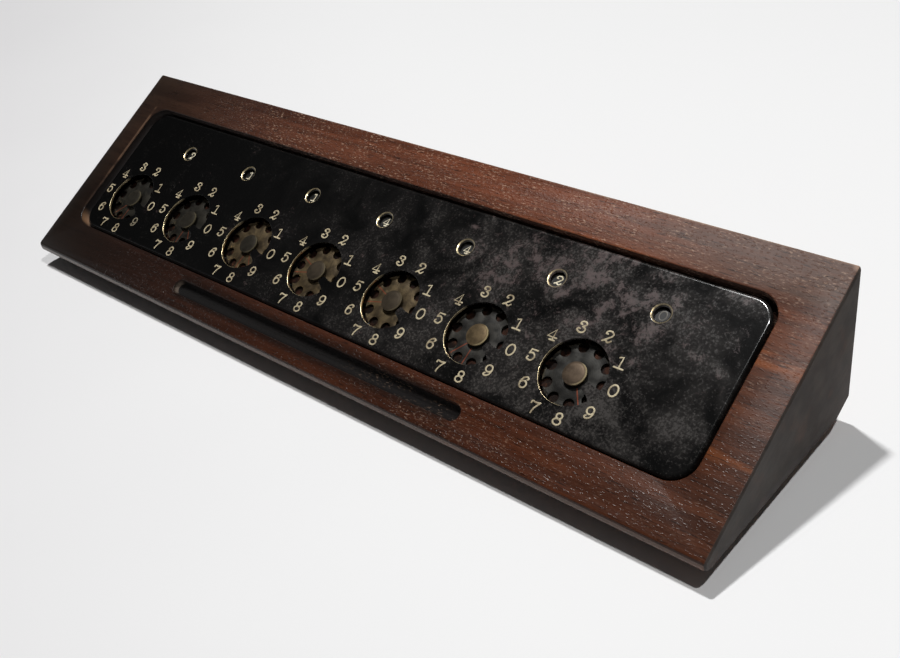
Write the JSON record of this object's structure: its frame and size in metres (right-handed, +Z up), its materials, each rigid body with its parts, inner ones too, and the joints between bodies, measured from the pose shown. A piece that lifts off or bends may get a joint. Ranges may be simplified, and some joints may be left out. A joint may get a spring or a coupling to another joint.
{
  "type": "stylus adding machine",
  "caption": "Sloping wooden desk adding machine with a black face plate, notched dials turned by a stylus, number windows above them and a stylus groove.",
  "frame": {"origin": "on the table under the middle of the case", "axes": "+X along the case from the left end to the right end as its user sees it, +Y to the back, +Z up"},
  "size_m": [0.3422, 0.086, 0.0583],
  "materials": {
    "case_wood": "worn varnish",
    "board_wood": "plain",
    "foot_rubber": "matt",
    "black_enamel": "worn gloss enamel on brass",
    "pillar_steel": "turned",
    "movement_steel": "rolled sheet",
    "screw_steel": "blued",
    "screw_brass": "dull",
    "stud_metal": "tarnished",
    "wheel_bronze": "stamped, tarnished",
    "wheel_steel": "stamped, tarnished",
    "gear_brass": "dull",
    "number_black": "black with cream numbers",
    "lever_steel": "stamped",
    "spring_steel": "bright"
  },
  "bodies": {
    "case": {"wooden_case": "case_wood", "bottom_board": "board_wood", "bottom_screws": "screw_brass", "case_feet": "foot_rubber", "face_plate": "black_enamel", "plate_pillars": "pillar_steel", "movement_plate": "movement_steel", "movement_screws": "screw_steel", "pillar_screws": "screw_steel", "dial_studs": "stud_metal", "number_studs": "pillar_steel", "lever_studs": "pillar_steel", "spring_screws": "screw_steel", "detent_spring_1": "spring_steel", "detent_spring_2": "spring_steel", "detent_spring_3": "spring_steel", "detent_spring_4": "spring_steel", "detent_spring_5": "spring_steel", "detent_spring_6": "spring_steel", "detent_spring_7": "spring_steel", "carry_spring_1": "spring_steel", "carry_spring_2": "spring_steel", "carry_spring_3": "spring_steel", "carry_spring_4": "spring_steel", "carry_spring_5": "spring_steel", "carry_spring_6": "spring_steel"},
    "dial_1": {"dial_wheel_1": "wheel_steel", "dial_gear_1": "gear_brass"},
    "number_1": {"number_gear_1": "gear_brass", "number_disc_1": "number_black"},
    "dial_2": {"dial_wheel_2": "wheel_steel", "dial_gear_2": "gear_brass"},
    "number_2": {"number_gear_2": "gear_brass", "number_disc_2": "number_black"},
    "dial_3": {"dial_wheel_3": "wheel_bronze", "dial_gear_3": "gear_brass"},
    "number_3": {"number_gear_3": "gear_brass", "number_disc_3": "number_black"},
    "dial_4": {"dial_wheel_4": "wheel_bronze", "dial_gear_4": "gear_brass"},
    "number_4": {"number_gear_4": "gear_brass", "number_disc_4": "number_black"},
    "dial_5": {"dial_wheel_5": "wheel_bronze", "dial_gear_5": "gear_brass"},
    "number_5": {"number_gear_5": "gear_brass", "number_disc_5": "number_black"},
    "dial_6": {"dial_wheel_6": "wheel_steel", "dial_gear_6": "gear_brass"},
    "number_6": {"number_gear_6": "gear_brass", "number_disc_6": "number_black"},
    "dial_7": {"dial_wheel_7": "wheel_steel", "dial_gear_7": "gear_brass"},
    "number_7": {"number_gear_7": "gear_brass", "number_disc_7": "number_black"},
    "lever_1": {"carry_lever_1": "lever_steel"},
    "lever_2": {"carry_lever_2": "lever_steel"},
    "lever_3": {"carry_lever_3": "lever_steel"},
    "lever_4": {"carry_lever_4": "lever_steel"},
    "lever_5": {"carry_lever_5": "lever_steel"},
    "lever_6": {"carry_lever_6": "lever_steel"}
  },
  "joints": [
    {"name": "dial_1_turn", "type": "hinge", "parent": "case", "child": "dial_1", "pos_m": [-0.1373, -0.00808, 0.02448], "axis": [0, -0.4848, 0.8746], "continuous": true, "deforming": ["detent_spring_1"]},
    {"name": "dial_2_turn", "type": "hinge", "parent": "case", "child": "dial_2", "pos_m": [-0.09705, -0.00808, 0.02448], "axis": [0, -0.4848, 0.8746], "continuous": true, "deforming": ["detent_spring_2"]},
    {"name": "dial_3_turn", "type": "hinge", "parent": "case", "child": "dial_3", "pos_m": [-0.0568, -0.00808, 0.02448], "axis": [0, -0.4848, 0.8746], "continuous": true, "deforming": ["detent_spring_3"]},
    {"name": "dial_4_turn", "type": "hinge", "parent": "case", "child": "dial_4", "pos_m": [-0.01655, -0.00808, 0.02448], "axis": [0, -0.4848, 0.8746], "continuous": true, "deforming": ["detent_spring_4"]},
    {"name": "dial_5_turn", "type": "hinge", "parent": "case", "child": "dial_5", "pos_m": [0.0237, -0.00808, 0.02448], "axis": [0, -0.4848, 0.8746], "continuous": true, "deforming": ["detent_spring_5"]},
    {"name": "dial_6_turn", "type": "hinge", "parent": "case", "child": "dial_6", "pos_m": [0.06395, -0.00808, 0.02448], "axis": [0, -0.4848, 0.8746], "continuous": true, "deforming": ["detent_spring_6"]},
    {"name": "dial_7_turn", "type": "hinge", "parent": "case", "child": "dial_7", "pos_m": [0.1042, -0.00808, 0.02448], "axis": [0, -0.4848, 0.8746], "continuous": true, "deforming": ["detent_spring_7"]},
    {"name": "number_1_turn", "type": "hinge", "parent": "case", "child": "number_1", "pos_m": [-0.12035, 0.00888, 0.03514], "axis": [0, -0.4848, 0.8746], "continuous": true},
    {"name": "number_2_turn", "type": "hinge", "parent": "case", "child": "number_2", "pos_m": [-0.0801, 0.00888, 0.03514], "axis": [0, -0.4848, 0.8746], "continuous": true},
    {"name": "number_3_turn", "type": "hinge", "parent": "case", "child": "number_3", "pos_m": [-0.03985, 0.00888, 0.03514], "axis": [0, -0.4848, 0.8746], "continuous": true},
    {"name": "number_4_turn", "type": "hinge", "parent": "case", "child": "number_4", "pos_m": [0.0004, 0.00888, 0.03514], "axis": [0, -0.4848, 0.8746], "continuous": true},
    {"name": "number_5_turn", "type": "hinge", "parent": "case", "child": "number_5", "pos_m": [0.04065, 0.00888, 0.03514], "axis": [0, -0.4848, 0.8746], "continuous": true},
    {"name": "number_6_turn", "type": "hinge", "parent": "case", "child": "number_6", "pos_m": [0.0809, 0.00888, 0.03514], "axis": [0, -0.4848, 0.8746], "continuous": true},
    {"name": "number_7_turn", "type": "hinge", "parent": "case", "child": "number_7", "pos_m": [0.12115, 0.00888, 0.03514], "axis": [0, -0.4848, 0.8746], "continuous": true},
    {"name": "carry_lever_1_swing", "type": "hinge", "parent": "case", "child": "lever_1", "pos_m": [-0.1213, -0.01449, 0.01704], "axis": [0, -0.4848, 0.8746], "range_deg": [0, 12], "stiffness_Nm_per_rad": 0.002, "deforming": ["carry_spring_1"]},
    {"name": "carry_lever_2_swing", "type": "hinge", "parent": "case", "child": "lever_2", "pos_m": [-0.08105, -0.01449, 0.01704], "axis": [0, -0.4848, 0.8746], "range_deg": [0, 12], "stiffness_Nm_per_rad": 0.002, "deforming": ["carry_spring_2"]},
    {"name": "carry_lever_3_swing", "type": "hinge", "parent": "case", "child": "lever_3", "pos_m": [-0.0408, -0.01449, 0.01704], "axis": [0, -0.4848, 0.8746], "range_deg": [0, 12], "stiffness_Nm_per_rad": 0.002, "deforming": ["carry_spring_3"]},
    {"name": "carry_lever_4_swing", "type": "hinge", "parent": "case", "child": "lever_4", "pos_m": [-0.00055, -0.01449, 0.01704], "axis": [0, -0.4848, 0.8746], "range_deg": [0, 12], "stiffness_Nm_per_rad": 0.002, "deforming": ["carry_spring_4"]},
    {"name": "carry_lever_5_swing", "type": "hinge", "parent": "case", "child": "lever_5", "pos_m": [0.0397, -0.01449, 0.01704], "axis": [0, -0.4848, 0.8746], "range_deg": [0, 12], "stiffness_Nm_per_rad": 0.002, "deforming": ["carry_spring_5"]},
    {"name": "carry_lever_6_swing", "type": "hinge", "parent": "case", "child": "lever_6", "pos_m": [0.07995, -0.01449, 0.01704], "axis": [0, -0.4848, 0.8746], "range_deg": [0, 12], "stiffness_Nm_per_rad": 0.002, "deforming": ["carry_spring_6"]}
  ],
  "couplings": [
    {"joint": "number_1_turn", "follows": "dial_1_turn", "ratio": -1},
    {"joint": "number_2_turn", "follows": "dial_2_turn", "ratio": -1},
    {"joint": "number_3_turn", "follows": "dial_3_turn", "ratio": -1},
    {"joint": "number_4_turn", "follows": "dial_4_turn", "ratio": -1},
    {"joint": "number_5_turn", "follows": "dial_5_turn", "ratio": -1},
    {"joint": "number_6_turn", "follows": "dial_6_turn", "ratio": -1},
    {"joint": "number_7_turn", "follows": "dial_7_turn", "ratio": -1}
  ]
}
